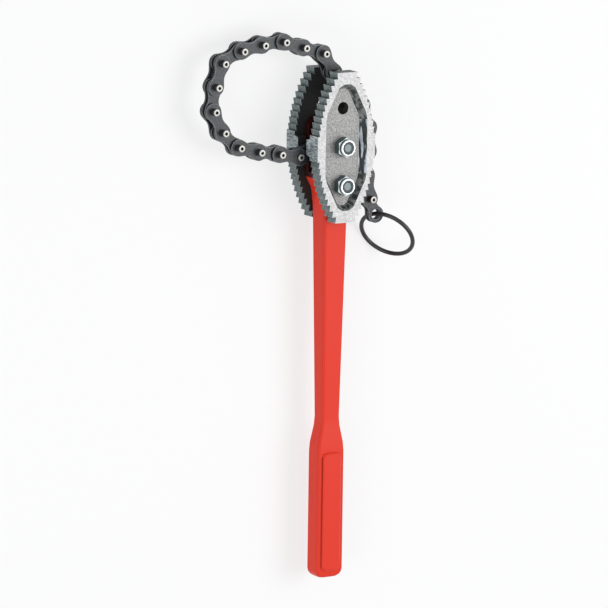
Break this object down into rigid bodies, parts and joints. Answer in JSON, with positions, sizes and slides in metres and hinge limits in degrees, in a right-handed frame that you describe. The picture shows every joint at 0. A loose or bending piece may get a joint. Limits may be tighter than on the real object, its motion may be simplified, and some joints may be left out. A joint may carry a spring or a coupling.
{
  "type": "chain wrench",
  "caption": "Chain wrench: two toothed double-ended jaw plates bolted to a tapered forged handle, with a hinged chain between them and a pull ring on its free end.",
  "frame": {"origin": "on the axis of the jaw plates' spare bolt hole, midway between the plates", "axes": "+Y along the handle towards the head, +X across the jaw plates, +Z out of the plate that carries the nuts; the tool lies on the other plate"},
  "size_m": [0.2506, 0.583, 0.0676],
  "materials": {
    "red_paint": "semi-gloss",
    "jaw_steel": "ground rim on a fine cast face",
    "zinc": "bright zinc plate",
    "chain_steel": "dark oiled",
    "ring_steel": "black"
  },
  "bodies": {
    "tool": {"handle": "red_paint", "nut_side_jaw": "jaw_steel", "head_side_jaw": "jaw_steel", "jaw_bolts": "zinc", "jaw_nuts": "zinc"},
    "anchor": {"anchor_link": "chain_steel"},
    "outer_1": {"outer_link_1": "chain_steel"},
    "inner_1": {"inner_link_1": "chain_steel"},
    "outer_2": {"outer_link_2": "chain_steel"},
    "inner_2": {"inner_link_2": "chain_steel"},
    "outer_3": {"outer_link_3": "chain_steel"},
    "inner_3": {"inner_link_3": "chain_steel"},
    "outer_4": {"outer_link_4": "chain_steel"},
    "inner_4": {"inner_link_4": "chain_steel"},
    "outer_5": {"outer_link_5": "chain_steel"},
    "inner_5": {"inner_link_5": "chain_steel"},
    "outer_6": {"outer_link_6": "chain_steel"},
    "inner_6": {"inner_link_6": "chain_steel"},
    "outer_7": {"outer_link_7": "chain_steel"},
    "inner_7": {"inner_link_7": "chain_steel"},
    "outer_8": {"outer_link_8": "chain_steel"},
    "inner_8": {"inner_link_8": "chain_steel"},
    "outer_9": {"outer_link_9": "chain_steel"},
    "inner_9": {"inner_link_9": "chain_steel"},
    "outer_10": {"outer_link_10": "chain_steel"},
    "end": {"end_link": "chain_steel"},
    "ring": {"pull_ring": "ring_steel"}
  },
  "joints": [
    {"name": "anchor_pivot", "type": "hinge", "parent": "tool", "child": "anchor", "pos_m": [0, -0.0405, 0], "axis": [0, 0, 1], "range_deg": [0, 18]},
    {"name": "outer_1_pivot", "type": "hinge", "parent": "anchor", "child": "outer_1", "pos_m": [-0.04076, -0.05142, 0], "axis": [0, 0, 1], "range_deg": [0, 18]},
    {"name": "inner_1_pivot", "type": "hinge", "parent": "outer_1", "child": "inner_1", "pos_m": [-0.0657, -0.04658, 0], "axis": [0, 0, 1], "range_deg": [0, 18]},
    {"name": "outer_2_pivot", "type": "hinge", "parent": "inner_1", "child": "outer_2", "pos_m": [-0.09078, -0.0426, 0], "axis": [0, 0, 1], "range_deg": [0, 18]},
    {"name": "inner_2_pivot", "type": "hinge", "parent": "outer_2", "child": "inner_2", "pos_m": [-0.11537, -0.03624, 0], "axis": [0, 0, 1], "range_deg": [0, 18]},
    {"name": "outer_3_pivot", "type": "hinge", "parent": "inner_2", "child": "outer_3", "pos_m": [-0.1344, -0.01941, 0], "axis": [0, 0, 1], "range_deg": [0, 18]},
    {"name": "inner_3_pivot", "type": "hinge", "parent": "outer_3", "child": "inner_3", "pos_m": [-0.14593, 0.00322, 0], "axis": [0, 0, 1], "range_deg": [0, 18]},
    {"name": "outer_4_pivot", "type": "hinge", "parent": "inner_3", "child": "outer_4", "pos_m": [-0.14305, 0.02846, 0], "axis": [0, 0, 1], "range_deg": [0, 18]},
    {"name": "inner_4_pivot", "type": "hinge", "parent": "outer_4", "child": "inner_4", "pos_m": [-0.13563, 0.05275, 0], "axis": [0, 0, 1], "range_deg": [0, 18]},
    {"name": "outer_5_pivot", "type": "hinge", "parent": "inner_4", "child": "outer_5", "pos_m": [-0.11299, 0.06428, 0], "axis": [0, 0, 1], "range_deg": [0, 18]},
    {"name": "inner_5_pivot", "type": "hinge", "parent": "outer_5", "child": "inner_5", "pos_m": [-0.08806, 0.06912, 0], "axis": [0, 0, 1], "range_deg": [0, 18]},
    {"name": "outer_6_pivot", "type": "hinge", "parent": "inner_5", "child": "outer_6", "pos_m": [-0.06272, 0.0709, 0], "axis": [0, 0, 1], "range_deg": [0, 18]},
    {"name": "inner_6_pivot", "type": "hinge", "parent": "outer_6", "child": "inner_6", "pos_m": [-0.03843, 0.06347, 0], "axis": [0, 0, 1], "range_deg": [0, 18]},
    {"name": "outer_7_pivot", "type": "hinge", "parent": "inner_6", "child": "outer_7", "pos_m": [-0.01414, 0.05604, 0], "axis": [0, 0, 1], "range_deg": [0, 18]},
    {"name": "inner_7_pivot", "type": "hinge", "parent": "outer_7", "child": "inner_7", "pos_m": [0.00006, 0.03499, 0], "axis": [0, 0, 1], "range_deg": [0, 18]},
    {"name": "outer_8_pivot", "type": "hinge", "parent": "inner_7", "child": "outer_8", "pos_m": [0.01833, 0.01734, 0], "axis": [0, 0, 1], "range_deg": [0, 18]},
    {"name": "inner_8_pivot", "type": "hinge", "parent": "outer_8", "child": "inner_8", "pos_m": [0.03499, -0.00183, 0], "axis": [0, 0, 1], "range_deg": [0, 18]},
    {"name": "outer_9_pivot", "type": "hinge", "parent": "inner_8", "child": "outer_9", "pos_m": [0.04368, -0.0257, 0], "axis": [0, 0, 1], "range_deg": [0, 18]},
    {"name": "inner_9_pivot", "type": "hinge", "parent": "outer_9", "child": "inner_9", "pos_m": [0.04368, -0.0511, 0], "axis": [0, 0, 1], "range_deg": [-4, 18]},
    {"name": "outer_10_pivot", "type": "hinge", "parent": "inner_9", "child": "outer_10", "pos_m": [0.04191, -0.07643, 0], "axis": [0, 0, 1], "range_deg": [-10, 18]},
    {"name": "end_pivot", "type": "hinge", "parent": "outer_10", "child": "end", "pos_m": [0.04588, -0.10152, 0], "axis": [0, 0, 1], "range_deg": [-10, 18]},
    {"name": "ring_pivot", "type": "hinge", "parent": "end", "child": "ring", "pos_m": [0.05465, -0.11872, 0], "axis": [0, 0, 1], "range_deg": [-15, 60]}
  ]
}
